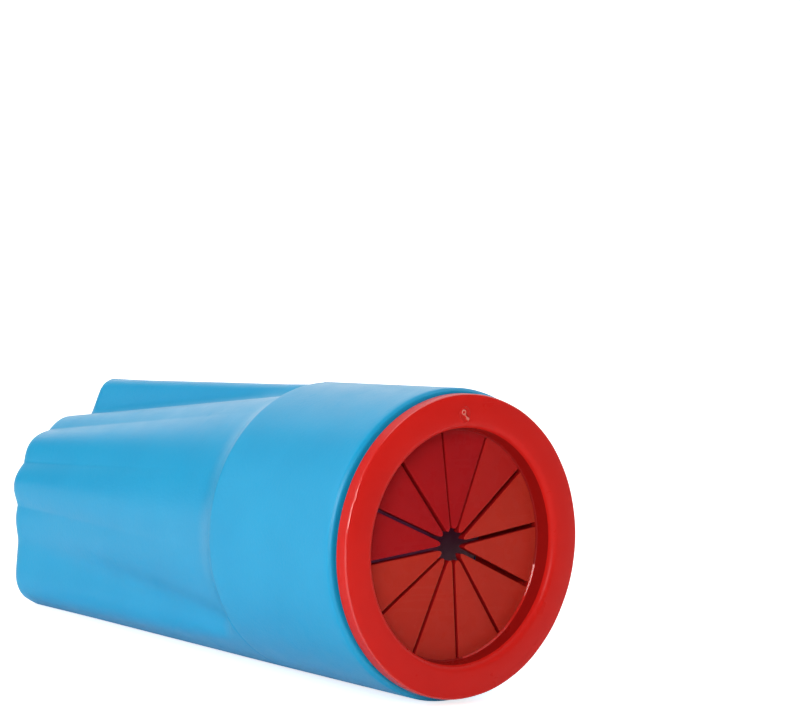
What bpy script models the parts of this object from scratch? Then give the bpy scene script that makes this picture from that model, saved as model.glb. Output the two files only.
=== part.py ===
"""Winged twist wire connector with a slit, flap-sealed mouth.

Frame: +X is the connector's axis and points out of its mouth, +Z is up and the
origin is the centre of the bounding box's bottom.  The connector lies on its
side, so the axis runs at a height of one collar radius.  Metres.

Pieces: a moulded shell with two finger wings and eight shallow flutes, a
conical square-wire spring pressed into its socket, sealant in the spring's
deep end, a snap-in cap ring, and twelve hinged flaps across the cap's mouth.
Distances along the axis are called stations and are measured from the shell's
closed end.
"""
import math

import bmesh
import bpy
from mathutils import Vector

MM = 0.001

# ------------------------------------------------------------- dimensions (mm)
COLLAR_R = 9.5          # shell's radius at its mouth
CLOSED_R = 7.65         # radius of the same cone at the closed end (wing tips)
SHELL_L = 37.2          # closed end to collar rim
FLANGE_GAP = 0.3        # between the rim and the cap's flange
FLANGE_T = 1.1          # cap flange thickness
TOTAL_L = SHELL_L + FLANGE_GAP + FLANGE_T
WING_ANGLE = 68.1       # upper wing's reference plane, degrees from +Y towards +Z
FLANK_STEEP = 0.53      # from that plane to the wing's steep flank
FLANK_LONG = 1.80       # and to its drawn-out flank, at the wing's tip
FLANK_DRAFT = 0.05      # growth of both per mm of station
LONG_TAPER = 0.334      # growth of the drawn-out flank per mm towards the root
TAPER_LOSS = 0.75       # share of that growth gone at the shoulder
STEEP_FILLET = 0.93     # blend between the steep flank and the core
LONG_FILLET = 0.85      # blend between the drawn-out flank and the core
WING_TIP_BLEND = 1.0    # rounding of the wing's long edges
WING_CORNER_R = 2.3     # rounding where a wing's edge runs into the shoulder
CORE_R = 4.773          # core radius at the closed end, over the lobes
CORE_SLOPE = 0.139      # growth of the core radius per mm of station
LOBES = 100.1           # angle of one lobe's crest
LOBE_DEPTH = 0.36       # depth of the valleys between lobes at the closed end
WING_CENTRE = 63.0      # middle of the wing's tip, where the columns crowd
LOBE_PITCH = 36.0       # degrees: eight lobes and two wings
LOBE_FADE = 26.0        # station where the flutes have run out
SHOULDER = 25.3         # station of the collar's edge
FLARE_L = 2.4           # length of the concave flare before the shoulder
END_FILLET = 1.0        # rounding round the closed end
RIM_CHAMFER = 0.3       # collar's outer rim

RECESS_R = 3.25         # blind recess in the closed end
RECESS_DEPTH = 1.6
NUB_R = 0.8             # moulding nub at the middle of the recess
NUB_H = 1.05

SOCKET_FLOOR = 3.6      # spring socket: station and radius of its narrow end
SOCKET_R0 = 3.35
SOCKET_TOP = 24.2
SOCKET_R1 = 6.55
CHAMBER_R = 7.45        # chamber between the socket and the cap's seat
CHAMBER_FOOT = 26.2
SEAT = 31.0             # step below the cap's skirt
SEAT_R = 8.2
GROOVE = 32.8           # snap groove centre, depth and length
GROOVE_DEPTH = 0.4
GROOVE_L = 1.0

FLANGE_R = 9.25
FLANGE_EDGE = 0.35      # rounding of the flange's front edge
MOUTH_R = 7.16          # mouth radius at the front face
MOUTH_WALL_R = 7.05     # mouth radius beside the flaps
SKIRT_R = 7.9
SKIRT_BORE = 7.3
SKIRT_END = 31.6
BEAD_H = 0.4            # snap bead on the skirt
BEAD_L = 0.7

FLAP_COUNT = 12
FLAP_PHASE = 22.6       # middle of the first flap, degrees from +Y towards +Z
FLAP_RECESS = 1.1       # front of the flaps below the cap's front face
FLAP_T = 0.5
FLAP_ROOT = 6.6         # hinge line's distance from the axis
FLAP_TIP = 1.0          # radius of the centre hole
SLIT = 0.3              # gap between neighbouring flaps

WIRE = 0.95             # spring: side of the square wire
SPRING_CLEAR = 0.3
SPRING_START = 4.5
SPRING_END = 22.4
SPRING_TURNS = 10.5
TURN_POINTS = 18

SEALANT_START = 4.0
SEALANT_END = 17.2

COLUMNS = 80            # faces round the shell's outside
FACETS = 48             # faces round turned pieces

MID = TOTAL_L / 2.0     # station of the origin


# ------------------------------------------------------------------ scene setup
for ob in list(bpy.data.objects):
    bpy.data.objects.remove(ob, do_unlink=True)

parts = bpy.data.collections.new("twist_wire_connector")
cutters = bpy.data.collections.new("cutters_and_guides")
bpy.context.scene.collection.children.link(parts)
bpy.context.scene.collection.children.link(cutters)


def material(name, colour, roughness, metallic=0.0, alpha=1.0):
    mat = bpy.data.materials.new(name)
    mat.use_nodes = True
    bsdf = mat.node_tree.nodes["Principled BSDF"]
    bsdf.inputs["Base Color"].default_value = (*colour, 1.0)
    bsdf.inputs["Roughness"].default_value = roughness
    bsdf.inputs["Metallic"].default_value = metallic
    bsdf.inputs["Alpha"].default_value = alpha
    return mat


BLUE = material("blue_shell_plastic", (0.045, 0.385, 0.72), 0.42)
RED = material("red_cap_plastic", (0.50, 0.040, 0.028), 0.38)
FLAP_RED = material("red_flap_plastic", (0.40, 0.032, 0.022), 0.42)
STEEL = material("spring_steel", (0.62, 0.62, 0.60), 0.3, 1.0)
GEL = material("silicone_sealant", (0.55, 0.53, 0.48), 0.25)

axis = bpy.data.objects.new("connector_axis", None)
axis.location = (-MID * MM, 0.0, COLLAR_R * MM)
axis.rotation_euler = (0.0, math.radians(90.0), 0.0)   # its +Z runs along +X
parts.objects.link(axis)


def add(name, mesh, mat, collection=parts, parent=axis):
    ob = bpy.data.objects.new(name, mesh)
    collection.objects.link(ob)
    ob.parent = parent
    if mat:
        mesh.materials.append(mat)
    return ob


def make_cutter(ob):
    ob.hide_render = True
    ob.display_type = "WIRE"


def turned(name, profile, mat, collection=parts, closed=False, steps=FACETS):
    """Screw a (radius, station) profile in mm round the connector's axis."""
    mesh = bpy.data.meshes.new(name)
    bm = bmesh.new()
    verts = [bm.verts.new((r * MM, 0.0, s * MM)) for r, s in profile]
    for a, b in zip(verts, verts[1:]):
        bm.edges.new((a, b))
    if closed:
        bm.edges.new((verts[-1], verts[0]))
    bm.to_mesh(mesh)
    bm.free()
    ob = add(name, mesh, mat, collection)
    screw = ob.modifiers.new("turn", "SCREW")
    screw.axis = "Z"
    screw.steps = steps
    screw.render_steps = steps
    screw.use_merge_vertices = True
    screw.merge_threshold = 0.00001
    screw.use_smooth_shade = True
    return ob


def subtract(ob, cutter):
    cut = ob.modifiers.new("cut_" + cutter.name, "BOOLEAN")
    cut.operation = "DIFFERENCE"
    cut.solver = "EXACT"
    cut.object = cutter


# ------------------------------------------------------------ shell: its outside
def cone_radius(s):
    return CLOSED_R + (COLLAR_R - CLOSED_R) * s / SHELL_L


def core_radius(s):
    """Radius over the lobes: a cone that flares up to the collar's edge."""
    r = CORE_R + CORE_SLOPE * s
    start = SHOULDER - FLARE_L
    if s > start:
        rise = cone_radius(SHOULDER) - (CORE_R + CORE_SLOPE * SHOULDER)
        rho = (FLARE_L ** 2 + rise ** 2) / (2.0 * rise)
        d = s - start
        r += rho - math.sqrt(rho * rho - d * d)
    return r


def smooth_min(a, b, k):
    h = max(k - abs(a - b), 0.0) / k
    return min(a, b) - h * h * k / 4.0


def smooth_max(a, b, k):
    return -smooth_min(-a, -b, k)


def section_distance(rho, delta, s):
    """Signed distance (mm) to the grip's section; delta is from a wing's plane."""
    a, b = rho * math.cos(delta), rho * math.sin(delta)
    w = (math.degrees(delta) - (LOBES - WING_ANGLE)) / LOBE_PITCH
    w = abs(w - round(w)) * 2.0            # 0 on a lobe, 1 in a valley
    valley = 0.65 * w * w + 0.35 * (1.0 - math.cos(math.pi * w)) / 2.0
    depth = LOBE_DEPTH * max(0.0, 1.0 - s / LOBE_FADE)
    core = rho - (core_radius(s) - depth * valley)
    if b > 0.0:
        half, lean, root = FLANK_STEEP, 1.0, STEEP_FILLET
    else:
        taper = LONG_TAPER * (1.0 - TAPER_LOSS * min(1.0, s / SHOULDER))
        half = FLANK_LONG + taper * (cone_radius(s) - max(a, 3.0))
        lean, root = math.hypot(1.0, taper), LONG_FILLET
    half += FLANK_DRAFT * s
    d = s - (SHOULDER - WING_CORNER_R)
    if d > 0.0:
        half += WING_CORNER_R - math.sqrt(max(WING_CORNER_R ** 2 - d * d, 0.0))
    wing = (abs(b) - half) / lean
    room = min(1.0, max(0.02, (cone_radius(s) - core_radius(s)) / 1.2))
    body = smooth_min(core, wing, root * room)
    return smooth_max(body, rho - cone_radius(s), WING_TIP_BLEND * room)


def outer_radius(theta, s):
    """Shell's outer radius at an angle (radians from +Y to +Z) and a station."""
    if s >= SHOULDER:
        return cone_radius(s) - max(0.0, s - (SHELL_L - RIM_CHAMFER))
    delta = (theta - math.radians(WING_ANGLE) + math.pi / 2) % math.pi - math.pi / 2
    inset = 0.0
    if s < END_FILLET:
        inset = END_FILLET - math.sqrt(END_FILLET ** 2 - (END_FILLET - s) ** 2)
    lo, hi = 1.0, cone_radius(s) + 0.5
    for _ in range(40):
        mid = (lo + hi) / 2.0
        if section_distance(mid, delta, s) + inset < 0.0:
            lo = mid
        else:
            hi = mid
    return lo


def column_angles():
    """Angles round the section, closer together on the wings' faces."""
    half = COLUMNS // 4
    out = []
    for i in range(half + 1):
        t = i / half
        out.append(90.0 * (0.62 * t ** 2.0 + 0.38 * t))
    quarter = out[:-1]
    ring = []
    for base in (0.0, 180.0):
        ring += [base + q for q in quarter]
        ring += [base + 180.0 - q for q in out[:0:-1]]
    return [math.radians(WING_CENTRE + a) for a in ring]


def shell_mesh():
    stations = [0.0, 0.1, 0.35, END_FILLET, 3.0, 7.0, 11.0, 15.0, 19.0,
                SHOULDER - FLARE_L, 24.0, 24.8, SHOULDER, 31.0,
                SHELL_L - RIM_CHAMFER, SHELL_L]
    angles = column_angles()
    bm = bmesh.new()
    rings = []
    for s in stations:
        ring = []
        for th in angles:
            r = outer_radius(th, s) * MM
            # the parent's +X points down, so an angle from +Y to +Z is (-sin, cos)
            ring.append(bm.verts.new((-r * math.sin(th), r * math.cos(th), s * MM)))
        rings.append(ring)
    n = len(angles)
    for low, high in zip(rings, rings[1:]):
        for i in range(n):
            j = (i + 1) % n
            bm.faces.new((low[i], low[j], high[j], high[i]))
    bm.faces.new(list(reversed(rings[0])))
    bm.faces.new(rings[-1])
    bmesh.ops.recalc_face_normals(bm, faces=bm.faces)
    mesh = bpy.data.meshes.new("shell")
    bm.to_mesh(mesh)
    bm.free()
    return mesh


shell = add("shell", shell_mesh(), BLUE)

bore = turned("bore_cutter", [
    (0.0, SHELL_L + 2.0),
    (SEAT_R + 0.35, SHELL_L + 2.0),
    (SEAT_R + 0.35, SHELL_L),
    (SEAT_R, SHELL_L - 0.35),
    (SEAT_R, GROOVE + GROOVE_L / 2 + 0.2),
    (SEAT_R + GROOVE_DEPTH, GROOVE + GROOVE_L / 2),
    (SEAT_R + GROOVE_DEPTH, GROOVE - GROOVE_L / 2),
    (SEAT_R, GROOVE - GROOVE_L / 2 - 0.2),
    (SEAT_R, SEAT),
    (CHAMBER_R, SEAT),
    (CHAMBER_R, CHAMBER_FOOT),
    (SOCKET_R1, SOCKET_TOP),
    (SOCKET_R0, SOCKET_FLOOR + 0.3),
    (SOCKET_R0 - 0.3, SOCKET_FLOOR),
    (0.0, SOCKET_FLOOR),
], None, cutters)
make_cutter(bore)

nub = [(NUB_R * math.sin(a), RECESS_DEPTH - NUB_H + NUB_H * (1.0 - math.cos(a)))
       for a in (math.radians(d) for d in (0, 30, 60, 90))]
recess = turned("recess_cutter", nub + [
    (RECESS_R - 0.35, RECESS_DEPTH),
    (RECESS_R - 0.05, RECESS_DEPTH - 0.3),
    (RECESS_R + 0.1, -1.0),
    (0.0, -1.0),
], None, cutters, steps=32)
make_cutter(recess)

subtract(shell, bore)
subtract(shell, recess)

# ----------------------------------------------------------------------- cap ring
FRONT = TOTAL_L
BACK = SHELL_L + FLANGE_GAP
cap_ring = turned("cap_ring", [
    (MOUTH_R + 0.16, FRONT),
    (FLANGE_R - FLANGE_EDGE, FRONT),
    (FLANGE_R - 0.3 * FLANGE_EDGE, FRONT - 0.3 * FLANGE_EDGE),
    (FLANGE_R, FRONT - FLANGE_EDGE),
    (FLANGE_R, BACK),
    (SKIRT_R, BACK),
    (SKIRT_R, GROOVE + BEAD_L / 2),
    (SKIRT_R + BEAD_H, GROOVE + BEAD_L / 4),
    (SKIRT_R + BEAD_H, GROOVE - BEAD_L / 4),
    (SKIRT_R, GROOVE - BEAD_L / 2 - 0.2),
    (SKIRT_R - 0.15, SKIRT_END),
    (SKIRT_BORE, SKIRT_END),
    (SKIRT_BORE - 0.05, FRONT - FLAP_RECESS - 0.15),
    (MOUTH_WALL_R, FRONT - FLAP_RECESS),
    (MOUTH_R, FRONT - 0.2),
], RED, closed=True)

# -------------------------------------------------------------------------- flaps
for i in range(FLAP_COUNT):
    th = math.radians(FLAP_PHASE + i * 360.0 / FLAP_COUNT)
    half_angle = math.pi / FLAP_COUNT
    bm = bmesh.new()
    bmesh.ops.create_cube(bm, size=1.0)
    for v in bm.verts:
        # local x: connector axis, y: outwards from it, z: along the hinge line
        reach = FLAP_ROOT if v.co.y > 0.0 else FLAP_TIP
        half_width = reach * math.tan(half_angle) - SLIT / 2 / math.cos(half_angle)
        v.co = Vector((math.copysign(FLAP_T / 2, v.co.x),
                       reach - FLAP_ROOT,
                       math.copysign(half_width, v.co.z))) * MM
    mesh = bpy.data.meshes.new("petal_%02d" % (i + 1))
    bm.to_mesh(mesh)
    bm.free()
    flap = add("petal_%02d" % (i + 1), mesh, FLAP_RED, parent=None)
    flap.location = Vector((FRONT - FLAP_RECESS - FLAP_T / 2 - MID,
                            FLAP_ROOT * math.cos(th),
                            COLLAR_R + FLAP_ROOT * math.sin(th))) * MM
    flap.rotation_euler = (th, 0.0, 0.0)


# ------------------------------------------------------------------------- spring
def socket_radius(s):
    return SOCKET_R0 + (SOCKET_R1 - SOCKET_R0) * (s - SOCKET_FLOOR) / (SOCKET_TOP - SOCKET_FLOOR)


section = bpy.data.curves.new("wire_section", "CURVE")
section.dimensions = "2D"
square = section.splines.new("POLY")
square.points.add(3)
for point, (x, y) in zip(square.points, ((-1, -1), (1, -1), (1, 1), (-1, 1))):
    point.co = (x * WIRE / 2 * MM, y * WIRE / 2 * MM, 0.0, 1.0)
square.use_cyclic_u = True
wire_section = bpy.data.objects.new("wire_section", section)
cutters.objects.link(wire_section)
make_cutter(wire_section)

coil = bpy.data.curves.new("spring", "CURVE")
coil.dimensions = "3D"
coil.twist_mode = "Z_UP"
coil.bevel_mode = "OBJECT"
coil.bevel_object = wire_section
coil.use_fill_caps = True
helix = coil.splines.new("POLY")
count = int(SPRING_TURNS * TURN_POINTS) + 1
helix.points.add(count - 1)
for i, point in enumerate(helix.points):
    t = i / (count - 1)
    s = SPRING_START + (SPRING_END - SPRING_START) * t
    r = socket_radius(s) - SPRING_CLEAR - WIRE / 2
    a = 2.0 * math.pi * SPRING_TURNS * t
    point.co = (r * math.cos(a) * MM, r * math.sin(a) * MM, s * MM, 1.0)
guide = bpy.data.objects.new("spring_guide", coil)
cutters.objects.link(guide)
make_cutter(guide)
bpy.context.view_layer.update()
spring_mesh = bpy.data.meshes.new_from_object(
    guide.evaluated_get(bpy.context.evaluated_depsgraph_get()))
spring_mesh.name = "spring"
bm = bmesh.new()
bm.from_mesh(spring_mesh)
bmesh.ops.remove_doubles(bm, verts=bm.verts, dist=0.000001)
bmesh.ops.recalc_face_normals(bm, faces=bm.faces)
bm.to_mesh(spring_mesh)
bm.free()
spring_mesh.materials.clear()
bpy.data.objects.remove(guide, do_unlink=True)
spring = add("spring", spring_mesh, STEEL)

# ----------------------------------------------------------------------- sealant
def spring_bore(s):
    return socket_radius(s) - SPRING_CLEAR - WIRE - 0.3


sealant = turned("sealant", [
    (0.0, SEALANT_END),
    (spring_bore(SEALANT_END), SEALANT_END),
    (spring_bore(SEALANT_START), SEALANT_START),
    (0.0, SEALANT_START),
], GEL, steps=24)

# ----------------------------------------------------------------------- shading
for ob in parts.objects:
    if ob.type == "MESH":
        ob.data.shade_smooth()
        ob.data.set_sharp_from_angle(angle=math.radians(32.0))
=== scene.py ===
"""Looks of the twist wire connector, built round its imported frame.

Everything is in metres in the row frame: +X runs along the connector's axis
and out of its mouth, +Z is up.  Stations are distances along the axis from the
shell's closed end, in millimetres.
"""
import math

import bmesh
import bpy
import numpy as np
from mathutils import Euler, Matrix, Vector


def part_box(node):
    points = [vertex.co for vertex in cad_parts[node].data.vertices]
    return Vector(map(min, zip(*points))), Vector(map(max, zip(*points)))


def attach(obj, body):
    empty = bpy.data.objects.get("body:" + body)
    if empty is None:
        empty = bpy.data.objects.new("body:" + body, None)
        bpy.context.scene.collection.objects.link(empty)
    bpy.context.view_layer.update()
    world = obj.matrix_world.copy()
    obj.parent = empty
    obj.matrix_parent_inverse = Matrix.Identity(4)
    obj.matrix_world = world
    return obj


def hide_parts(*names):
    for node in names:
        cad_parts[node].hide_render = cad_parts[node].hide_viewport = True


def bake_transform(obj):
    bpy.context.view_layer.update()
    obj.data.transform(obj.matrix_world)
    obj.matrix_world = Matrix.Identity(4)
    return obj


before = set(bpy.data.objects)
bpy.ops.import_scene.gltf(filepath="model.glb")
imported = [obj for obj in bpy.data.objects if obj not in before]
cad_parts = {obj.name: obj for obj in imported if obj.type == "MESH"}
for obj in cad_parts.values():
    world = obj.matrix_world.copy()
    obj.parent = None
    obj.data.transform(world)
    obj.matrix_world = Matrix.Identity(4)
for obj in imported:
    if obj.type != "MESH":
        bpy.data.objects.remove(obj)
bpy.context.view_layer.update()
ROOT = "connector_body"
MM = 0.001

# ------------------------------------------------------------------ where it lies
shell_lo, shell_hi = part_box("shell")
ring_lo, ring_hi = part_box("cap_ring")
CLOSED_X = shell_lo[0] / MM                      # station 0 on the X axis
FRONT = (ring_hi[0] - shell_lo[0]) / MM          # station of the cap's front face
AXIS_Z = (ring_lo[2] + ring_hi[2]) / 2 / MM      # height of the axis
RIM = (shell_hi[0] - shell_lo[0]) / MM           # station of the collar's rim

# the shell's driving sizes, mm
COLLAR_R = 9.5
CLOSED_R = 7.65
WING = math.radians(68.1)        # radial plane the wings' flanks are measured from
FLANK_STEEP = 0.53               # its steep flank, and the drawn-out one
FLANK_LONG = 1.80
FLANK_DRAFT = 0.05
LONG_TAPER = 0.334
TAPER_LOSS = 0.75                # share of that taper gone at the shoulder
STEEP_FILLET = 0.93
LONG_FILLET = 0.85
WING_TIP_BLEND = 1.0
WING_CORNER_R = 2.3
CORE_R = 4.773
CORE_SLOPE = 0.139
LOBES = 100.1                    # angle of a lobe's crest
LOBE_DEPTH = 0.36
LOBE_FADE = 26.0
SHOULDER = 25.3
FLARE_L = 2.4
END_FILLET = 1.0
RECESS_R = 3.25
RECESS_DEPTH = 1.6
FLAP_RECESS = 1.1
FLAP_T = 0.5
FLAP_ROOT = 6.6
FLAP_PHASE = 22.6
DISH = 0.24                      # the flaps' tips stand this much proud of their roots
SLIT_SHIFT = (0.4, 0.8, -0.1, -0.4, 0.4, 0.3, -0.2, -0.8, 0.3, -0.1, -0.4, -0.4)
# half of each slit's width: some were torn a little wider than others
SLIT_HALF = (0.143, 0.150, 0.076, 0.080, 0.120, 0.130, 0.128, 0.106, 0.112, 0.110, 0.116, 0.158)
FLAP_COUNT = 12


def at(s, r, th):
    """Row-frame point(s) in metres for station s, radius r (mm) and angle th."""
    s, r, th = np.broadcast_arrays(s, r, th)
    return np.stack([(s + CLOSED_X) * MM, r * np.cos(th) * MM,
                     (AXIS_Z + r * np.sin(th)) * MM], axis=-1)


# ------------------------------------------------------------------- mesh helpers
def new_object(name, verts, faces, sharp=30.0):
    mesh = bpy.data.meshes.new(name)
    mesh.from_pydata([tuple(map(float, v)) for v in verts], [], faces)
    mesh.validate()
    bm = bmesh.new()
    bm.from_mesh(mesh)
    bmesh.ops.remove_doubles(bm, verts=bm.verts, dist=1e-8)
    bmesh.ops.recalc_face_normals(bm, faces=bm.faces)
    bm.to_mesh(mesh)
    bm.free()
    ob = bpy.data.objects.new(name, mesh)
    bpy.context.scene.collection.objects.link(ob)
    mesh.shade_smooth()
    mesh.set_sharp_from_angle(angle=math.radians(sharp))
    return ob


def grid_faces(rows, cols, offset=0, wrap_cols=True, wrap_rows=False):
    faces = []
    last = rows if wrap_rows else rows - 1
    for i in range(last):
        a, b = offset + i * cols, offset + ((i + 1) % rows) * cols
        for j in range(cols if wrap_cols else cols - 1):
            k = (j + 1) % cols
            faces.append((a + j, a + k, b + k, b + j))
    return faces


def swept(name, rows, sharp=30.0):
    """Closed body from rows of points round the axis; its first and last rows are poles."""
    cols = len(rows[1])
    verts = [rows[0][0]]
    for row in rows[1:-1]:
        verts.extend(row)
    verts.append(rows[-1][0])
    inner = len(rows) - 2
    faces = grid_faces(inner, cols, offset=1)
    end = len(verts) - 1
    base = 1 + (inner - 1) * cols
    for j in range(cols):
        k = (j + 1) % cols
        faces.append((0, 1 + k, 1 + j))
        faces.append((end, base + j, base + k))
    return new_object(name, verts, faces, sharp)


def arc(cx, cy, radius, a0, a1, n):
    """Points of an arc in (radius, station); angles in degrees."""
    return [(cx + radius * math.cos(math.radians(a0 + (a1 - a0) * i / n)),
             cy + radius * math.sin(math.radians(a0 + (a1 - a0) * i / n)))
            for i in range(n + 1)]


def line(p, q, n):
    return [(p[0] + (q[0] - p[0]) * i / n, p[1] + (q[1] - p[1]) * i / n)
            for i in range(n + 1)]


def joined(*runs):
    out = []
    for run in runs:
        for p in run:
            if not out or math.dist(p, out[-1]) > 1e-4:
                out.append(p)
    return out


# ---------------------------------------------------------------------- materials
def node(nt, kind, **values):
    n = nt.nodes.new(kind)
    for key, value in values.items():
        if key in n.inputs:
            n.inputs[key].default_value = value
        else:
            setattr(n, key, value)
    return n


def plastic(name, colour, other, rough, grain, grain_depth, subsurface, radius,
            scuff=0.06, spec=0.5):
    """Moulded plastic: slow colour drift, fine spark-eroded grain, faint scuffs."""
    mat = bpy.data.materials.new(name)
    mat.use_nodes = True
    nt = mat.node_tree
    bsdf = nt.nodes["Principled BSDF"]
    coords = node(nt, "ShaderNodeTexCoord")
    drift = node(nt, "ShaderNodeTexNoise", Scale=170.0, Detail=3.0, Roughness=0.55)
    nt.links.new(coords.outputs["Object"], drift.inputs["Vector"])
    tone = node(nt, "ShaderNodeMapRange")
    tone.inputs["From Min"].default_value = 0.3
    tone.inputs["From Max"].default_value = 0.7
    nt.links.new(drift.outputs["Fac"], tone.inputs["Value"])
    mix = nt.nodes.new("ShaderNodeMix")
    mix.data_type = "RGBA"
    mix.inputs["A"].default_value = (*colour, 1.0)
    mix.inputs["B"].default_value = (*other, 1.0)
    nt.links.new(tone.outputs["Result"], mix.inputs["Factor"])
    # pinpoint specks of lighter, unmelted pigment
    speck = node(nt, "ShaderNodeTexVoronoi", Scale=900.0, Randomness=1.0)
    nt.links.new(coords.outputs["Object"], speck.inputs["Vector"])
    spot = node(nt, "ShaderNodeMapRange")
    spot.inputs["From Min"].default_value = 0.045
    spot.inputs["From Max"].default_value = 0.02
    spot.inputs["To Max"].default_value = 0.16
    nt.links.new(speck.outputs["Distance"], spot.inputs["Value"])
    light = nt.nodes.new("ShaderNodeMix")
    light.data_type = "RGBA"
    light.inputs["B"].default_value = tuple(min(1.0, c * 1.35 + 0.06) for c in colour) + (1.0,)
    nt.links.new(spot.outputs["Result"], light.inputs["Factor"])
    nt.links.new(mix.outputs["Result"], light.inputs["A"])
    nt.links.new(light.outputs["Result"], bsdf.inputs["Base Color"])
    # roughness: cloudy, with long faint scuffs
    cloud = node(nt, "ShaderNodeTexNoise", Scale=420.0, Detail=4.0, Roughness=0.6)
    nt.links.new(coords.outputs["Object"], cloud.inputs["Vector"])
    stretch = node(nt, "ShaderNodeMapping")
    stretch.inputs["Rotation"].default_value = (0.4, 0.9, 0.3)
    stretch.inputs["Scale"].default_value = (1.0, 0.05, 1.0)
    nt.links.new(coords.outputs["Object"], stretch.inputs["Vector"])
    scratch = node(nt, "ShaderNodeTexNoise", Scale=2600.0, Detail=2.0, Roughness=0.5)
    nt.links.new(stretch.outputs["Vector"], scratch.inputs["Vector"])
    fine = node(nt, "ShaderNodeMapRange")
    fine.inputs["From Min"].default_value = 0.60
    fine.inputs["From Max"].default_value = 0.72
    fine.inputs["To Max"].default_value = scuff
    nt.links.new(scratch.outputs["Fac"], fine.inputs["Value"])
    base = node(nt, "ShaderNodeMapRange")
    base.inputs["From Min"].default_value = 0.25
    base.inputs["From Max"].default_value = 0.75
    base.inputs["To Min"].default_value = rough - 0.05
    base.inputs["To Max"].default_value = rough + 0.05
    nt.links.new(cloud.outputs["Fac"], base.inputs["Value"])
    total = nt.nodes.new("ShaderNodeMath")
    total.operation = "ADD"
    nt.links.new(base.outputs["Result"], total.inputs[0])
    nt.links.new(fine.outputs["Result"], total.inputs[1])
    nt.links.new(total.outputs["Value"], bsdf.inputs["Roughness"])
    # bump: the mould's grain over slight sink and flow marks
    pits = node(nt, "ShaderNodeTexNoise", Scale=grain, Detail=3.0, Roughness=0.6)
    nt.links.new(coords.outputs["Object"], pits.inputs["Vector"])
    flow = node(nt, "ShaderNodeTexNoise", Scale=260.0, Detail=2.0, Roughness=0.5)
    nt.links.new(coords.outputs["Object"], flow.inputs["Vector"])
    low = node(nt, "ShaderNodeBump", Strength=0.25, Distance=0.00006)
    nt.links.new(flow.outputs["Fac"], low.inputs["Height"])
    high = node(nt, "ShaderNodeBump", Strength=1.0, Distance=grain_depth)
    nt.links.new(pits.outputs["Fac"], high.inputs["Height"])
    nt.links.new(low.outputs["Normal"], high.inputs["Normal"])
    nt.links.new(high.outputs["Normal"], bsdf.inputs["Normal"])
    bsdf.inputs["Subsurface Weight"].default_value = subsurface
    bsdf.inputs["Subsurface Radius"].default_value = radius
    bsdf.inputs["Subsurface Scale"].default_value = 1.0
    bsdf.inputs["Specular IOR Level"].default_value = spec
    bsdf.inputs["IOR"].default_value = 1.49
    return mat


def steel(name):
    """Zinc-plated spring wire with drawing lines and cloudy plating."""
    mat = bpy.data.materials.new(name)
    mat.use_nodes = True
    nt = mat.node_tree
    bsdf = nt.nodes["Principled BSDF"]
    coords = node(nt, "ShaderNodeTexCoord")
    cloud = node(nt, "ShaderNodeTexNoise", Scale=700.0, Detail=4.0, Roughness=0.6)
    nt.links.new(coords.outputs["Object"], cloud.inputs["Vector"])
    ramp = nt.nodes.new("ShaderNodeValToRGB")
    ramp.color_ramp.elements[0].position = 0.35
    ramp.color_ramp.elements[0].color = (0.50, 0.50, 0.49, 1.0)
    ramp.color_ramp.elements[1].position = 0.7
    ramp.color_ramp.elements[1].color = (0.78, 0.78, 0.76, 1.0)
    nt.links.new(cloud.outputs["Fac"], ramp.inputs["Fac"])
    nt.links.new(ramp.outputs["Color"], bsdf.inputs["Base Color"])
    rough = node(nt, "ShaderNodeMapRange")
    rough.inputs["To Min"].default_value = 0.2
    rough.inputs["To Max"].default_value = 0.42
    nt.links.new(cloud.outputs["Fac"], rough.inputs["Value"])
    nt.links.new(rough.outputs["Result"], bsdf.inputs["Roughness"])
    lines = node(nt, "ShaderNodeTexNoise", Scale=9000.0, Detail=2.0)
    squeeze = node(nt, "ShaderNodeMapping")
    squeeze.inputs["Scale"].default_value = (1.0, 0.15, 0.15)
    nt.links.new(coords.outputs["Object"], squeeze.inputs["Vector"])
    nt.links.new(squeeze.outputs["Vector"], lines.inputs["Vector"])
    bump = node(nt, "ShaderNodeBump", Strength=0.5, Distance=0.00001)
    nt.links.new(lines.outputs["Fac"], bump.inputs["Height"])
    nt.links.new(bump.outputs["Normal"], bsdf.inputs["Normal"])
    bsdf.inputs["Metallic"].default_value = 1.0
    return mat


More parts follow.
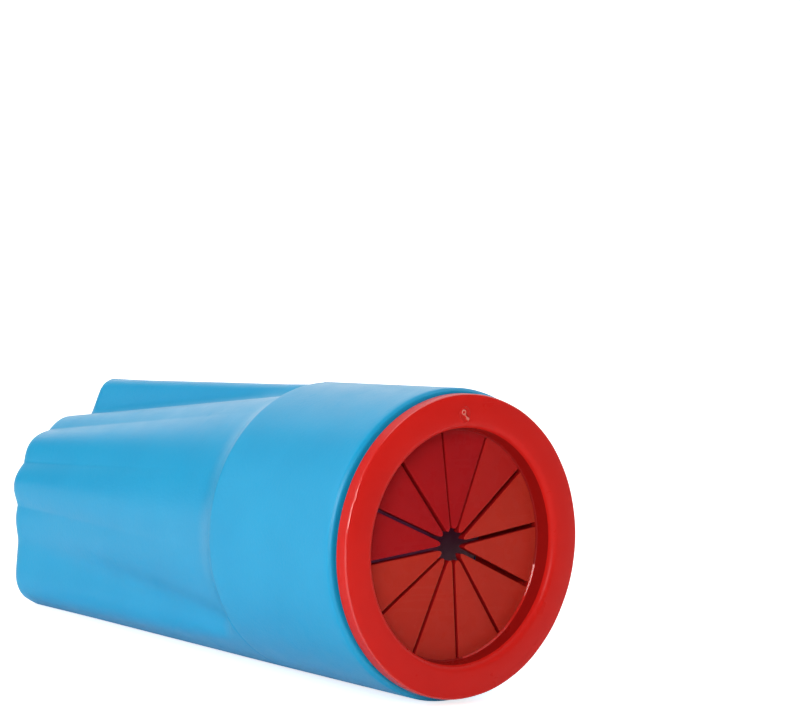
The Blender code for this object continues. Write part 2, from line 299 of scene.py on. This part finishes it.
def silicone(name):
    """Soft translucent sealant, slightly cloudy."""
    mat = bpy.data.materials.new(name)
    mat.use_nodes = True
    nt = mat.node_tree
    bsdf = nt.nodes["Principled BSDF"]
    coords = node(nt, "ShaderNodeTexCoord")
    cloud = node(nt, "ShaderNodeTexNoise", Scale=500.0, Detail=4.0, Roughness=0.55)
    nt.links.new(coords.outputs["Object"], cloud.inputs["Vector"])
    ramp = nt.nodes.new("ShaderNodeValToRGB")
    ramp.color_ramp.elements[0].position = 0.3
    ramp.color_ramp.elements[0].color = (0.50, 0.42, 0.40, 1.0)
    ramp.color_ramp.elements[1].position = 0.75
    ramp.color_ramp.elements[1].color = (0.66, 0.58, 0.55, 1.0)
    nt.links.new(cloud.outputs["Fac"], ramp.inputs["Fac"])
    nt.links.new(ramp.outputs["Color"], bsdf.inputs["Base Color"])
    soft = node(nt, "ShaderNodeTexNoise", Scale=350.0, Detail=2.0)
    nt.links.new(coords.outputs["Object"], soft.inputs["Vector"])
    bump = node(nt, "ShaderNodeBump", Strength=0.4, Distance=0.0002)
    nt.links.new(soft.outputs["Fac"], bump.inputs["Height"])
    nt.links.new(bump.outputs["Normal"], bsdf.inputs["Normal"])
    bsdf.inputs["Roughness"].default_value = 0.16
    bsdf.inputs["Subsurface Weight"].default_value = 0.6
    bsdf.inputs["Subsurface Radius"].default_value = (0.002, 0.0018, 0.0014)
    bsdf.inputs["Subsurface Scale"].default_value = 1.0
    bsdf.inputs["Coat Weight"].default_value = 0.3
    # painted light: the sealant glows pinkish, standing in for daylight soaking through the
    # walls, stronger on one side of the chamber
    split = nt.nodes.new("ShaderNodeVectorMath")
    split.operation = "DOT_PRODUCT"
    split.inputs[1].default_value = (-0.71, 0.0, -0.71)
    nt.links.new(coords.outputs["Object"], split.inputs[0])
    edge = -0.71 * ((27.4 + CLOSED_X) * MM + (AXIS_Z - 1.1) * MM)
    side = node(nt, "ShaderNodeMapRange")
    side.inputs["From Min"].default_value = edge - 0.00018
    side.inputs["From Max"].default_value = edge + 0.00018
    side.inputs["To Min"].default_value = 0.010
    side.inputs["To Max"].default_value = 0.030
    nt.links.new(split.outputs["Value"], side.inputs["Value"])
    bsdf.inputs["Emission Color"].default_value = (1.0, 0.16, 0.42, 1.0)
    nt.links.new(side.outputs["Result"], bsdf.inputs["Emission Strength"])
    return mat


FLOOR_GLOW = 0.08
FLOOR_WHITE = 0.75


def floor_material():
    mat = bpy.data.materials.new("studio_floor")
    mat.use_nodes = True
    nt = mat.node_tree
    bsdf = nt.nodes["Principled BSDF"]
    coords = node(nt, "ShaderNodeTexCoord")
    cloud = node(nt, "ShaderNodeTexNoise", Scale=30.0, Detail=4.0)
    nt.links.new(coords.outputs["Object"], cloud.inputs["Vector"])
    ramp = nt.nodes.new("ShaderNodeValToRGB")
    ramp.color_ramp.elements[0].color = (0.90, 0.90, 0.905, 1.0)
    ramp.color_ramp.elements[1].color = (0.92, 0.92, 0.92, 1.0)
    nt.links.new(cloud.outputs["Fac"], ramp.inputs["Fac"])
    nt.links.new(ramp.outputs["Color"], bsdf.inputs["Base Color"])
    bsdf.inputs["Roughness"].default_value = 0.75
    bsdf.inputs["Specular IOR Level"].default_value = 0.2
    bsdf.inputs["Emission Color"].default_value = (1.0, 1.0, 1.0, 1.0)
    # the sheet is blown out to white where it's seen directly, in every view alike
    ray = nt.nodes.new("ShaderNodeLightPath")
    glow = node(nt, "ShaderNodeMapRange")
    glow.inputs["To Min"].default_value = FLOOR_GLOW
    glow.inputs["To Max"].default_value = FLOOR_WHITE
    nt.links.new(ray.outputs["Is Camera Ray"], glow.inputs["Value"])
    nt.links.new(glow.outputs["Result"], bsdf.inputs["Emission Strength"])
    return mat


BLUE = plastic("blue_polypropylene", (0.003, 0.348, 0.640), (0.006, 0.376, 0.675),
               0.34, 5200.0, 0.000014, 0.12, (0.0004, 0.0012, 0.0016), spec=0.45)
RED = plastic("red_polypropylene", (0.69, 0.0175, 0.0125), (0.64, 0.0155, 0.0115),
              0.30, 3600.0, 0.000006, 0.22, (0.0016, 0.0003, 0.0002), scuff=0.06, spec=0.12)
RED_EDGE = plastic("red_polypropylene_polished", (0.70, 0.016, 0.011), (0.66, 0.014, 0.010),
                   0.14, 3600.0, 0.000002, 0.25, (0.0016, 0.0003, 0.0002), scuff=0.10, spec=0.95)
# painted shade: a darker copy of the red for the mouth's inner wall, standing in for the shade in
# the recess
RED_PAINTED_SHADE = plastic("red_polypropylene_painted_shade", (0.33, 0.007, 0.006), (0.30, 0.006, 0.005),
                   0.30, 3600.0, 0.000004, 0.15, (0.0012, 0.0003, 0.0002), spec=0.12)
WHITENED = plastic("stress_whitened_red", (0.80, 0.20, 0.15), (0.74, 0.14, 0.11),
                   0.32, 3600.0, 0.000004, 0.25, (0.0012, 0.0004, 0.0003), spec=0.45)
# painted light and shade: three copies of the flaps' red; the lighter, more orange one stands in
# for light reflected onto the lower flaps, the darker ones for the shade cast by the cap's upper
# lip
FLAP_PAINTED_LIT = plastic("red_flap_painted_lit", (0.53, 0.033, 0.019), (0.49, 0.029, 0.017),
                    0.28, 3600.0, 0.000005, 0.35, (0.0020, 0.0003, 0.0002), scuff=0.08, spec=0.05)
FLAP_PAINTED_HALF_SHADE = plastic("red_flap_painted_half_shade", (0.50, 0.020, 0.017), (0.46, 0.017, 0.015),
                   0.28, 3600.0, 0.000005, 0.35, (0.0020, 0.0003, 0.0002), scuff=0.08, spec=0.05)
FLAP_PAINTED_SHADE = plastic("red_flap_painted_shade", (0.43, 0.0105, 0.0135), (0.40, 0.009, 0.012),
                    0.28, 3600.0, 0.000005, 0.35, (0.0020, 0.0003, 0.0002), scuff=0.08, spec=0.05)
# painted shade: a dark red for the flaps' cut faces, standing in for the shade inside the narrow
# slits
FLAP_SLIT_PAINTED_SHADE = plastic("red_flap_slit_painted_shade", (0.33, 0.0058, 0.0066), (0.30, 0.0050, 0.0058),
                   0.40, 3600.0, 0.000005, 0.15, (0.0012, 0.0002, 0.0002), scuff=0.04, spec=0.05)
STEEL = steel("zinc_plated_wire")
GEL = silicone("silicone_sealant")


# -------------------------------------------------------------------------- shell
def cone_radius(s):
    return CLOSED_R + (COLLAR_R - CLOSED_R) * s / RIM


def core_radius(s):
    r = CORE_R + CORE_SLOPE * s
    start = SHOULDER - FLARE_L
    if s > start:
        rise = cone_radius(SHOULDER) - (CORE_R + CORE_SLOPE * SHOULDER)
        rho = (FLARE_L ** 2 + rise ** 2) / (2.0 * rise)
        r += rho - math.sqrt(rho * rho - (s - start) ** 2)
    return r


def smooth_min(a, b, k):
    h = np.maximum(k - np.abs(a - b), 0.0) / k
    return np.minimum(a, b) - h * h * k / 4.0


def section_distance(rho, delta, s):
    a, b = rho * np.cos(delta), rho * np.sin(delta)
    w = (np.degrees(delta) - (LOBES - math.degrees(WING))) / 36.0
    w = np.abs(w - np.round(w)) * 2.0
    valley = 0.65 * w * w + 0.35 * (1.0 - np.cos(np.pi * w)) / 2.0
    depth = LOBE_DEPTH * max(0.0, 1.0 - s / LOBE_FADE)
    core = rho - (core_radius(s) - depth * valley)
    steep = b > 0.0
    out = cone_radius(s) - np.maximum(a, 3.0)
    taper = LONG_TAPER * (1.0 - TAPER_LOSS * min(1.0, s / SHOULDER))
    half = np.where(steep, FLANK_STEEP, FLANK_LONG + taper * out)
    half = half + FLANK_DRAFT * s
    d = s - (SHOULDER - WING_CORNER_R)
    if d > 0.0:
        half = half + WING_CORNER_R - math.sqrt(max(WING_CORNER_R ** 2 - d * d, 0.0))
    wing = (np.abs(b) - half) / np.where(steep, 1.0, math.hypot(1.0, taper))
    room = min(1.0, max(0.02, (cone_radius(s) - core_radius(s)) / 1.2))
    root = np.where(steep, STEEP_FILLET, LONG_FILLET) * room
    body = smooth_min(core, wing, root)
    return -smooth_min(-body, -(rho - cone_radius(s)), WING_TIP_BLEND * room)


def section(s, inset, th):
    """Outer radius of the grip at station s for the angles th, inset by a fillet."""
    delta = (th - WING + math.pi / 2) % math.pi - math.pi / 2
    lo = np.full(len(th), 1.0)
    hi = np.full(len(th), cone_radius(s) + 0.5)
    for _ in range(34):
        mid = (lo + hi) / 2.0
        inside = section_distance(mid, delta, s) + inset < 0.0
        lo = np.where(inside, mid, lo)
        hi = np.where(inside, hi, mid)
    return lo


def column_angles(quarter):
    """Angles round the shell, closer together over the wings' faces."""
    t = np.linspace(0.0, 1.0, 2001)
    deg = 90.0 * t
    density = 1.0 + 2.4 * np.exp(-((deg - 9.5) / 6.0) ** 2)
    total = np.cumsum(density)
    total = (total - total[0]) / (total[-1] - total[0])
    q = np.interp(np.linspace(0.0, 1.0, quarter + 1), total, deg)
    ring = np.concatenate([q[:-1], 180.0 - q[:0:-1], 180.0 + q[:-1], 360.0 - q[:0:-1]])
    return WING + np.radians(ring)


def build_shell():
    th = column_angles(120)
    n = len(th)
    rows = []

    def ring(r, s):
        rows.append(at(s, np.broadcast_to(r, (n,)), th))

    # blind recess with its moulding nub, from the middle outwards
    nub = joined(arc(0.0, RECESS_DEPTH - 0.42, 0.62, 270, 350, 12),
                 arc(0.98, RECESS_DEPTH - 0.22, 0.22, 160, 90, 5))
    ring(0.0, nub[0][1])
    for r, s in nub[1:]:
        ring(r, s)
    inner = joined(line((1.1, RECESS_DEPTH), (RECESS_R - 0.55, RECESS_DEPTH), 10),
                   arc(RECESS_R - 0.42, RECESS_DEPTH - 0.4, 0.4, 90, 0, 7),
                   line((RECESS_R - 0.02, RECESS_DEPTH - 0.4), (RECESS_R + 0.02, 0.3), 8),
                   arc(RECESS_R + 0.32, 0.3, 0.3, 180, 270, 7))
    for r, s in inner:
        ring(r, s)
    # flat end between the recess and the filleted outline
    edge = section(0.0, END_FILLET, th)
    start = inner[-1][0]
    for k in range(1, 13):
        t = k / 12.0
        ring(start + (edge - start) * t, 0.0)
    for k in range(1, 13):
        a = math.radians(90.0 * k / 12)
        s = END_FILLET * (1.0 - math.cos(a))
        ring(section(s, END_FILLET * (1.0 - math.sin(a)), th), s)
    # grip, flare and shoulder
    body = list(np.linspace(END_FILLET, SHOULDER - FLARE_L, 72)[1:])
    body += list(np.linspace(SHOULDER - FLARE_L, SHOULDER - 0.12, 22)[1:])
    for s in body:
        ring(section(float(s), 0.0, th), float(s))
    ring(cone_radius(SHOULDER) - 0.035, SHOULDER - 0.03)
    ring(cone_radius(SHOULDER) - 0.006, SHOULDER + 0.05)
    # collar down to its rounded rim
    for s in np.linspace(SHOULDER + 0.14, RIM - 0.30, 30):
        ring(cone_radius(s), s)
    corner = joined(arc(cone_radius(RIM) - 0.22, RIM - 0.28, 0.20, 3, 62, 7),
                    arc(cone_radius(RIM) - 0.36, RIM - 0.41, 0.41, 62, 90, 4))
    for r, s in corner:
        ring(r, s)
    # mouth, cap seat, snap groove, chamber and spring socket
    inside = joined(line(corner[-1], (8.72, RIM), 4),
                    line((8.6, RIM - 0.08), (8.2, RIM - 0.45), 4),
                    line((8.2, RIM - 0.55), (8.2, 33.5), 10),
                    line((8.25, 33.45), (8.58, 33.28), 3),
                    line((8.6, 33.22), (8.6, 32.35), 4),
                    line((8.58, 32.3), (8.25, 32.15), 3),
                    line((8.2, 32.08), (8.2, 31.05), 5),
                    line((8.15, 31.0), (7.5, 31.0), 4),
                    line((7.45, 30.95), (7.45, 26.3), 14),
                    line((7.42, 26.15), (6.58, 24.25), 8),
                    line((6.54, 24.1), (3.37, 4.0), 56),
                    arc(3.0, 3.95, 0.35, 0, -90, 5),
                    line((2.9, 3.6), (0.5, 3.6), 6))
    for r, s in inside:
        ring(r, s)
    ring(0.0, 3.6)
    ob = swept("shell_skin", rows, sharp=38.0)
    ob.data.materials.append(BLUE)
    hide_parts("shell")
    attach(ob, ROOT)
    return ob


# ----------------------------------------------------------------------- cap ring
def build_cap_ring():
    cols = 240
    th = np.linspace(0.0, 2.0 * math.pi, cols, endpoint=False)
    F = FRONT
    membrane = F - FLAP_RECESS
    foot = membrane - DISH
    profile = joined(
        # front face, outwards from the mouth's rounded lip
        arc(7.16 + 0.42, F - 0.42, 0.42, 180, 90, 9),
        line((7.62, F), (7.70, F), 1),
        # slightly crowned, down to a small polished rounding
        [(r, F - 0.20 * ((r - 7.70) / 1.5) ** 2) for r in np.linspace(7.77, 9.14, 20).tolist()],
        arc(9.1102, F - 0.3002, 0.12, 75.6, 0, 9),
        line((9.232, F - 0.33), (9.20, RIM + 0.42), 6),
        arc(9.08, RIM + 0.40, 0.12, 0, -90, 3),
        line((9.0, RIM + 0.28), (8.12, RIM + 0.28), 6),
        line((8.02, RIM + 0.18), (7.92, 33.25), 12),
        arc(8.0, 32.8, 0.3, 80, -80, 8),
        line((7.9, 32.4), (7.78, 31.65), 4),
        line((7.7, 31.6), (7.35, 31.6), 3),
        line((7.3, 31.68), (7.25, foot - 0.60), 14),
        # underside of the ledge that carries the flaps
        line((7.22, foot - 0.55), (6.97, foot - 0.46), 3),
        line((6.95, foot - 0.42), (6.95, foot - 0.05), 4),
        # fine bead at the flaps' root, then the mouth's wall
        arc(6.985, foot + 0.02, 0.035, 180, 90, 3),
        line((7.0, foot + 0.055), (7.02, foot + 0.075), 2),
        line((7.035, foot + 0.10), (7.05, foot + 0.15), 2),
        line((7.06, foot + 0.2), (7.155, F - 0.45), 8),
    )
    wave = (0.010 * np.sin(3 * th + 0.7) + 0.006 * np.sin(7 * th + 2.1)
            + 0.004 * np.sin(19 * th + 0.5))
    nick = 0.08 * np.exp(-((np.degrees(th) - 159.5) / 1.2) ** 2)
    rows = []
    for r, s in profile:
        rr = np.full(cols, r)
        ss = np.full(cols, s)
        if r > 8.9 and s > RIM + 0.5:
            # the moulded edge isn't perfectly crisp, and it has been nicked once
            rr = rr + wave * 1.2 - nick
        rows.append(at(ss, rr, th))
    verts = np.concatenate(rows)
    faces = grid_faces(len(rows), cols, wrap_rows=True)
    ob = new_object("cap_ring_skin", verts, faces, sharp=34.0)
    ob.data.materials.append(RED)
    # the mould's polish shows on the rounded edges and on the bead at the flaps' root
    ob.data.materials.append(RED_EDGE)
    # painted shade: the mouth's inner wall gets the darker red
    ob.data.materials.append(RED_PAINTED_SHADE)
    for poly in ob.data.polygons:
        s = poly.center.x / MM - CLOSED_X
        r = math.hypot(poly.center.y, poly.center.z - AXIS_Z * MM) / MM
        side = math.degrees(math.atan2(poly.center.z - AXIS_Z * MM, poly.center.y))
        outer = r > 9.138 and s > F - 0.31
        bead = r < 7.045 and foot - 0.02 < s < foot + 0.16 and -80.0 < side < -12.0
        # the mouth's inner wall, painted darker as shade
        wall = r < 7.2 and foot - 0.6 < s < F - 0.40
        poly.material_index = 1 if outer or bead else 2 if wall else 0
    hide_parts("cap_ring")
    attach(ob, ROOT)

    # scar of the moulding gate: a low ring with a torn, teardrop middle
    gate_th, gate_r = math.radians(92.0), 7.98
    c, e = math.cos(gate_th), math.sin(gate_th)
    n, m = 72, 33
    pts, fcs = [], []
    for i in range(m):
        q = i / (m - 1)
        for j in range(n):
            a = 2.0 * math.pi * j / n
            d = 0.52 * q * (1.0 + 0.05 * math.sin(3 * a + 1.0))
            u = d * math.cos(a) * 0.85
            v = d * math.sin(a)
            # a torn loop, the tail it was pulled from and the lump left at its end
            loop = math.exp(-((math.hypot(u - 0.13, v - 0.17) - 0.13) / 0.045) ** 2)
            along = max(0.0, min(1.0, ((0.10 - u) * 0.28 + (0.06 - v) * 0.30) / 0.1684))
            tail = math.exp(-(math.hypot(u - 0.10 + 0.28 * along,
                                         v - 0.06 + 0.30 * along) / 0.055) ** 2)
            blob = math.exp(-(math.hypot(u + 0.18, v + 0.24) / 0.095) ** 2)
            rim = math.exp(-((q - 0.82) / 0.09) ** 2)
            h = 0.085 * loop + 0.09 * tail + 0.11 * blob + 0.028 * rim
            h -= 0.06 * max(0.0, (q - 0.93) / 0.07)
            rad, tan = gate_r + v, u
            pts.append(((F + CLOSED_X + 0.006 + h) * MM,
                        (rad * c - tan * e) * MM,
                        (AXIS_Z + rad * e + tan * c) * MM))
    for i in range(m - 1):
        for j in range(n):
            k = (j + 1) % n
            fcs.append((i * n + j, i * n + k, (i + 1) * n + k, (i + 1) * n + j))
    back = len(pts)
    for j in range(n):
        x, y, z = pts[(m - 1) * n + j]
        pts.append((x - 0.06 * MM, y, z))
    for j in range(n):
        k = (j + 1) % n
        fcs.append(((m - 1) * n + j, (m - 1) * n + k, back + k, back + j))
    fcs.append(tuple(back + j for j in range(n)))
    gate = new_object("gate_scar", pts, fcs, sharp=60.0)
    gate.data.materials.append(RED)
    gate.data.materials.append(WHITENED)
    for poly in gate.data.polygons:
        poly.material_index = 1 if poly.center.x > (F + CLOSED_X + 0.060) * MM else 0
    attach(gate, ROOT)
    return ob


# -------------------------------------------------------------------------- flaps
def build_flap(i):
    name = "petal_%02d" % (i + 1)
    th0 = math.radians(FLAP_PHASE + 30.0 * i)
    front = FRONT - FLAP_RECESS - DISH
    slit_low, slit_high = SLIT_HALF[i % 12], SLIT_HALF[(i + 1) % 12]
    nu, nv = ((44, 18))
    lift = 0.030 * math.sin(2.3 * i + 0.4)
    roll = 0.018 * math.sin(4.1 * i + 1.3)
    tip_r = 0.98 + 0.05 * math.sin(3.7 * i)
    outer = 7.02
    # the two slits beside this flap weren't cut at quite even angles
    low_edge = math.radians(SLIT_SHIFT[i % 12])
    high_edge = math.radians(SLIT_SHIFT[(i + 1) % 12])
    reach = np.concatenate([np.linspace(tip_r, 5.6, int(nu * 0.55), endpoint=False),
                            np.linspace(5.6, outer, nu - int(nu * 0.55))])
    top, low = [], []
    for r in reach:
        wide = math.sin(math.pi / FLAP_COUNT)
        half_low = math.asin(max(0.0, wide - slit_low / r))
        half_high = math.asin(max(0.0, wide - slit_high / r))
        if r < tip_r + 0.14:
            q = (tip_r + 0.14 - r) / 0.14
            narrow = 0.50 + 0.50 * math.sqrt(max(0.0, 1.0 - q * q))
            half_low, half_high = half_low * narrow, half_high * narrow
        for v in np.linspace(-1.0, 1.0, nv):
            shift = low_edge * (1.0 - v) / 2.0 + high_edge * (1.0 + v) / 2.0
            a = th0 + (half_low if v < 0.0 else half_high) * v + shift * min(1.0, r / 5.0)
            inward = max(0.0, (6.75 - r) / 5.7)
            dx = DISH * inward + lift * inward ** 1.6 + roll * v * inward * 1.2
            # the flap thins at its root, from behind
            g = math.exp(-((r - 6.66) / 0.16) ** 2)
            top.append(at(front + dx - 0.012 * g, r, a))
            low.append(at(front - FLAP_T + dx + 0.16 * g, r, a))
    rows = len(reach)
    verts = top + low
    off = rows * nv
    faces = []
    for u in range(rows - 1):
        for v in range(nv - 1):
            a = u * nv + v
            faces.append((a, a + 1, a + nv + 1, a + nv))
            faces.append((off + a, off + a + nv, off + a + nv + 1, off + a + 1))
    edge = [v for v in range(nv)]
    edge += [u * nv + nv - 1 for u in range(1, rows)]
    edge += [(rows - 1) * nv + v for v in range(nv - 2, -1, -1)]
    edge += [u * nv for u in range(rows - 2, 0, -1)]
    for a, b in zip(edge, edge[1:] + edge[:1]):
        faces.append((a, off + a, off + b, b))
    ob = new_object(name + "_skin", verts, faces, sharp=40.0)
    # break the slit edges a little
    bm = bmesh.new()
    bm.from_mesh(ob.data)
    rim = [e for e in bm.edges if len(e.link_faces) == 2
           and e.calc_face_angle(0.0) > math.radians(60.0)
           and abs(e.verts[0].co.x - e.verts[1].co.x) < 0.0002]
    bmesh.ops.bevel(bm, geom=rim, offset=0.000035, segments=2, profile=0.5,
                    affect="EDGES", clamp_overlap=True)
    bmesh.ops.recalc_face_normals(bm, faces=bm.faces)
    bm.to_mesh(ob.data)
    bm.free()
    ob.data.shade_smooth()
    ob.data.set_sharp_from_angle(angle=math.radians(50.0))
    # painted light and shade: the flaps under the cap's upper lip get the shaded reds, the others
    # the lit red
    ob.data.materials.append(FLAP_PAINTED_SHADE if 2 <= i <= 5 else FLAP_PAINTED_HALF_SHADE if i == 1 else FLAP_PAINTED_LIT)
    ob.data.materials.append(FLAP_SLIT_PAINTED_SHADE)
    for poly in ob.data.polygons:                # stands in for the shade in a narrow slit
        poly.material_index = 1 if abs(poly.normal.x) < 0.35 else 0
    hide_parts(name)
    mid = front + 0.03 - FLAP_T / 2
    tuple(at(mid, 6.92, th0))
    tuple(at(mid, 6.28, th0))
    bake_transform(ob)
    return ob


# -------------------------------------------------------------------------- spring
def socket_radius(s):
    return 3.35 + (6.55 - 3.35) * (s - 3.6) / (24.2 - 3.6)


def build_spring():
    wire, turns, start, end = 0.95, 10.5, 4.5, 22.4
    per_turn = 72
    count = int(turns * per_turn) + 1
    c = 0.10                                    # rounding of the wire's corners
    h = wire / 2
    outline = []
    for cx, cy, a0 in ((h - c, h - c, 0), (c - h, h - c, 90),
                       (c - h, c - h, 180), (h - c, c - h, 270)):
        for k in range(4):
            a = math.radians(a0 + 30.0 * k)
            outline.append((cx + c * math.cos(a), cy + c * math.sin(a)))
    m = len(outline)
    verts = []
    for i in range(count):
        t = i / (count - 1)
        s = start + (end - start) * t
        r = socket_radius(s) - 0.3 - h
        # both ends are cut square and tucked in a little
        if t > 0.985:
            r -= 0.35 * ((t - 0.985) / 0.015) ** 2
        if t < 0.01:
            r -= 0.25 * ((0.01 - t) / 0.01) ** 2
        a = 2.0 * math.pi * turns * t
        # the coil starts on the -Z side
        th = a - math.pi / 2
        for p, q in outline:
            verts.append(tuple(at(s + q, r + p, th)))
    faces = grid_faces(count, m)
    faces.append(tuple(reversed(range(m))))
    faces.append(tuple((count - 1) * m + k for k in range(m)))
    ob = new_object("spring_skin", verts, faces, sharp=35.0)
    ob.data.materials.append(STEEL)
    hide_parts("spring")
    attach(ob, ROOT)
    return ob


def bore_radius(s):
    """Radius of the shell's inside between the spring socket and the cap's seat."""
    if s < 24.2:
        return socket_radius(s)
    if s < 26.2:
        return 6.56 + (7.45 - 6.56) * (s - 24.2) / 2.0
    return 7.45


def build_sealant():
    """Sealant filling the deep end, and the film it leaves up the chamber's wall."""
    cols = 96
    th = np.linspace(0.0, 2.0 * math.pi, cols, endpoint=False)
    rows = []
    top = 17.0
    for k in range(15):
        q = k / 15.0
        ripple = 0.05 * np.sin(3 * th + 0.9) * q * (1 - q) * 4
        rows.append(at(top - 0.2 + 0.7 * q ** 6 + ripple,
                       np.full(cols, (socket_radius(top) - 0.2) * q), th))
    crest = 31.36 + 0.12 * np.sin(2 * th + 0.3) + 0.06 * np.sin(5 * th + 1.0)
    for t in np.linspace(0.0, 1.0, 30):
        s = 17.7 + (crest - 17.7) * t
        wall = np.array([bore_radius(float(v)) for v in s])
        film = 0.10 + 0.035 * np.sin(4 * th + 9.0 * t) + 0.02 * np.sin(9 * th - 14.0 * t)
        if t > 0.93:
            film = film * math.sqrt(max(0.0, 1.0 - ((t - 0.93) / 0.07) ** 2)) + 0.02
        rows.append(at(s, wall - film, th))
    for t in np.linspace(1.0, 0.0, 20):
        s = 4.05 + (crest + 0.02 - 4.05) * t
        wall = np.array([bore_radius(float(v)) for v in s])
        rows.append(at(s, wall - 0.008, th))
    for r in (2.6, 1.4, 0.0):
        rows.append(at(3.66, np.full(cols, r), th))
    ob = swept("sealant_skin", rows, sharp=50.0)
    ob.data.materials.append(GEL)
    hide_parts("sealant")
    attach(ob, ROOT)
    return ob


build_shell()
build_cap_ring()
for index in range(FLAP_COUNT):
    build_flap(index)
build_spring()
build_sealant()

# -------------------------------------------------------- floor, light and camera
# the real part rests on its collar and on its lower wing's tip, so the table is
# tipped by a few degrees against the connector's axis
TILT = math.atan2(2.36, RIM - 1.3)
n = 96
verts = [(0.0, 0.0, 0.0)]
for k in range(n):
    a = 2.0 * math.pi * k / n
    verts.append((1.6 * math.cos(a), 1.6 * math.sin(a), 0.0))
floor = new_object("studio_floor", verts, [(0, 1 + k, 1 + (k + 1) % n) for k in range(n)])
foot_x = (RIM - 0.4 + CLOSED_X) * MM
floor.rotation_euler = (0.0, TILT, 0.0)
floor.location = (foot_x, 0.0, (AXIS_Z - COLLAR_R) * MM - 0.00002)
floor.data.materials.append(floor_material())

world = bpy.data.worlds.new("studio")
bpy.context.scene.world = world
world.use_nodes = True
WORLD_LOW = 0.06
WORLD_HIGH = 1.13
nt = world.node_tree
background = nt.nodes["Background"]
background.inputs["Color"].default_value = (0.98, 0.99, 1.0, 1.0)
sky = nt.nodes.new("ShaderNodeTexCoord")
facing = nt.nodes.new("ShaderNodeVectorMath")
facing.operation = "DOT_PRODUCT"
facing.inputs[1].default_value = (0.0, 0.90, 0.43)
fade = nt.nodes.new("ShaderNodeMapRange")
fade.interpolation_type = "SMOOTHSTEP"
fade.inputs["From Min"].default_value = -0.02
fade.inputs["From Max"].default_value = 0.44
both = nt.nodes.new("ShaderNodeMath")
both.operation = "MULTIPLY"
level = nt.nodes.new("ShaderNodeMapRange")
level.inputs["To Min"].default_value = WORLD_LOW
level.inputs["To Max"].default_value = WORLD_HIGH
nt.links.new(sky.outputs["Generated"], facing.inputs[0])
nt.links.new(facing.outputs["Value"], fade.inputs["Value"])
# the bright side ends where the room stands dark in front of the mouth
split = nt.nodes.new("ShaderNodeSeparateXYZ")
nt.links.new(sky.outputs["Generated"], split.inputs["Vector"])
ahead = nt.nodes.new("ShaderNodeMapRange")
ahead.interpolation_type = "SMOOTHSTEP"
ahead.inputs["From Min"].default_value = 0.75
ahead.inputs["From Max"].default_value = 0.05
nt.links.new(split.outputs["X"], ahead.inputs["Value"])
nt.links.new(fade.outputs["Result"], both.inputs[0])
nt.links.new(ahead.outputs["Result"], both.inputs[1])
nt.links.new(both.outputs["Value"], level.inputs["Value"])
seen = nt.nodes.new("ShaderNodeLightPath")
pick = nt.nodes.new("ShaderNodeMix")
pick.inputs["B"].default_value = 1.06
nt.links.new(seen.outputs["Is Camera Ray"], pick.inputs["Factor"])
nt.links.new(level.outputs["Result"], pick.inputs["A"])
nt.links.new(pick.outputs["Result"], background.inputs["Strength"])

CENTRE = Vector((0.0, 0.0, AXIS_Z * MM))


def softbox(name, where, size, power, colour=(1.0, 1.0, 1.0)):
    light = bpy.data.lights.new(name, "AREA")
    light.shape = "RECTANGLE"
    light.size, light.size_y = size
    light.energy = power
    light.color = colour
    ob = bpy.data.objects.new(name, light)
    bpy.context.scene.collection.objects.link(ob)
    ob.location = CENTRE + Vector(where)
    ob.rotation_euler = (-Vector(where)).to_track_quat("-Z", "Y").to_euler()
    return ob


softbox("glint", (0.27, -0.235, 0.06), (0.04, 0.04), 0.04)
softbox("front", (0.24, -0.26, 0.12), (0.16, 0.16), 0.68)
softbox("left", (-0.22, -0.24, 0.16), (0.30, 0.30), 0.283)
softbox("side", (-0.05, -0.36, 0.10), (0.20, 0.20), 0.22)
softbox("top", (0.02, -0.03, 0.36), (0.30, 0.30), 0.105)
softbox("behind", (-0.30, 0.30, 0.15), (0.40, 0.16), 0.043)

camera_data = bpy.data.cameras.new("camera")
camera_data.sensor_width = 36.0
camera_data.lens = 315.0
camera_data.clip_start = 0.01
camera_data.clip_end = 20.0
camera = bpy.data.objects.new("camera", camera_data)
bpy.context.scene.collection.objects.link(camera)
camera.location = (0.331983, -0.277733, 0.051547)
camera.rotation_euler = Euler((math.radians(85.784), math.radians(-1.748),
                               math.radians(49.093)), "XYZ")
bpy.context.scene.camera = camera
bpy.context.scene.view_settings.view_transform = "Standard"
bpy.context.scene.view_settings.look = "None"
